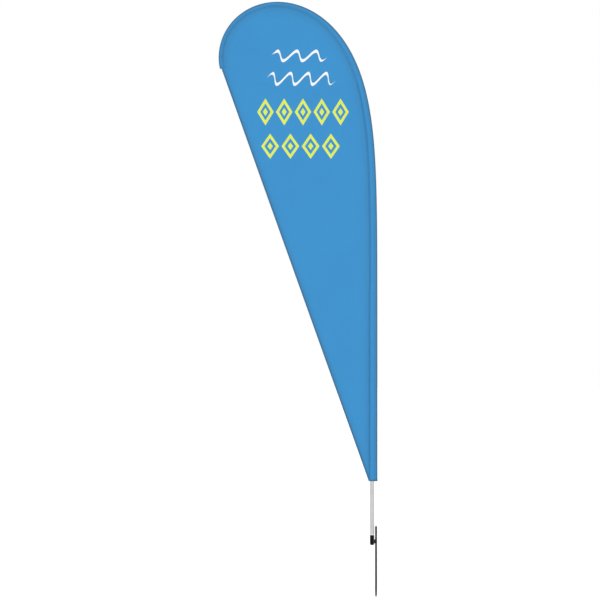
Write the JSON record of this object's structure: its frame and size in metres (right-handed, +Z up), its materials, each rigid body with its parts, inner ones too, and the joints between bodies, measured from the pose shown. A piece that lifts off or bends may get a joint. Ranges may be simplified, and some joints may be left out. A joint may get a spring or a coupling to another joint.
{
  "type": "teardrop flag",
  "caption": "Blue teardrop feather flag with its sleeve on a bowed pole, which turns on a bearing spindle held by a ground spike.",
  "frame": {"origin": "on the spike rod's axis at ground level, 2 mm below the turned mark that shows how deep the rod is driven", "axes": "+Z up along the spike; the flag lies in the plane Y = 0 and its front faces -Y; +X from the flag's trailing edge towards the spike"},
  "size_m": [0.8019, 0.0236, 3.0054],
  "materials": {
    "spike_black": "satin black powder coat, worn at the head and point",
    "link_grey": "dark grey coated steel",
    "housing_black": "smooth black powder coat",
    "bearing_steel": "ground and polished bearing steel",
    "cage_steel": "pressed steel strip",
    "spindle_zinc": "turned, bright zinc plated",
    "clip_steel": "phosphated spring steel",
    "nylon_white": "white nylon, satin",
    "rubber_black": "black nitrile rubber",
    "hook_black": "moulded black nylon",
    "tube_silver": "satin silver anodised",
    "rod_glass": "black pultruded glass fibre",
    "cap_rubber": "soft black cap",
    "elastic_black": "woven elastic",
    "cloth_panel": "printed knitted polyester, blue",
    "cloth_sleeve": "doubled knitted polyester, blue",
    "cloth_hem": "folded and stitched polyester, blue"
  },
  "bodies": {
    "ground_spike": {"spike_rod": "spike_black", "spike_link": "link_grey", "bearing_housing": "housing_black", "housing_plug": "housing_black", "dust_seal": "rubber_black", "lower_outer_race": "bearing_steel", "upper_outer_race": "bearing_steel"},
    "lower_ball_set": {"lower_bearing_balls": "bearing_steel", "lower_ball_cage": "cage_steel"},
    "upper_ball_set": {"upper_bearing_balls": "bearing_steel", "upper_ball_cage": "cage_steel"},
    "spindle": {"spindle_shaft": "spindle_zinc", "thrust_collar": "nylon_white", "shim_washer": "bearing_steel", "inner_spacer": "spindle_zinc", "retaining_clip": "clip_steel", "lower_inner_race": "bearing_steel", "upper_inner_race": "bearing_steel", "lower_o_ring": "rubber_black", "upper_o_ring": "rubber_black"},
    "flag_and_pole": {"base_tube": "tube_silver", "tube_reducer": "tube_silver", "mid_rod": "rod_glass", "lower_ferrule": "tube_silver", "upper_rod": "rod_glass", "upper_ferrule": "tube_silver", "tip_rod": "rod_glass", "tip_cap": "cap_rubber", "tension_hook": "hook_black", "hook_rivets": "spindle_zinc", "tension_loop": "elastic_black", "pole_sleeve": "cloth_sleeve", "mouth_hem": "cloth_hem", "tip_pocket": "cloth_sleeve", "flag_panel": "cloth_panel", "trailing_hem": "cloth_hem"}
  },
  "joints": [
    {"name": "spindle_spin", "type": "hinge", "parent": "ground_spike", "child": "spindle", "pos_m": [-0.02, 0, 0.0585], "axis": [0, 0, 1], "continuous": true},
    {"name": "lower_balls_roll", "type": "hinge", "parent": "ground_spike", "child": "lower_ball_set", "pos_m": [-0.02, 0, 0.0225], "axis": [0, 0, 1], "continuous": true},
    {"name": "upper_balls_roll", "type": "hinge", "parent": "ground_spike", "child": "upper_ball_set", "pos_m": [-0.02, 0, 0.0525], "axis": [0, 0, 1], "continuous": true},
    {"name": "pole_lift", "type": "slide", "parent": "spindle", "child": "flag_and_pole", "axis": [0, 0, 1], "range_m": [0, 0.19]}
  ],
  "couplings": [
    {"joint": "lower_balls_roll", "follows": "spindle_spin", "ratio": 0.4167},
    {"joint": "upper_balls_roll", "follows": "spindle_spin", "ratio": 0.4167}
  ]
}
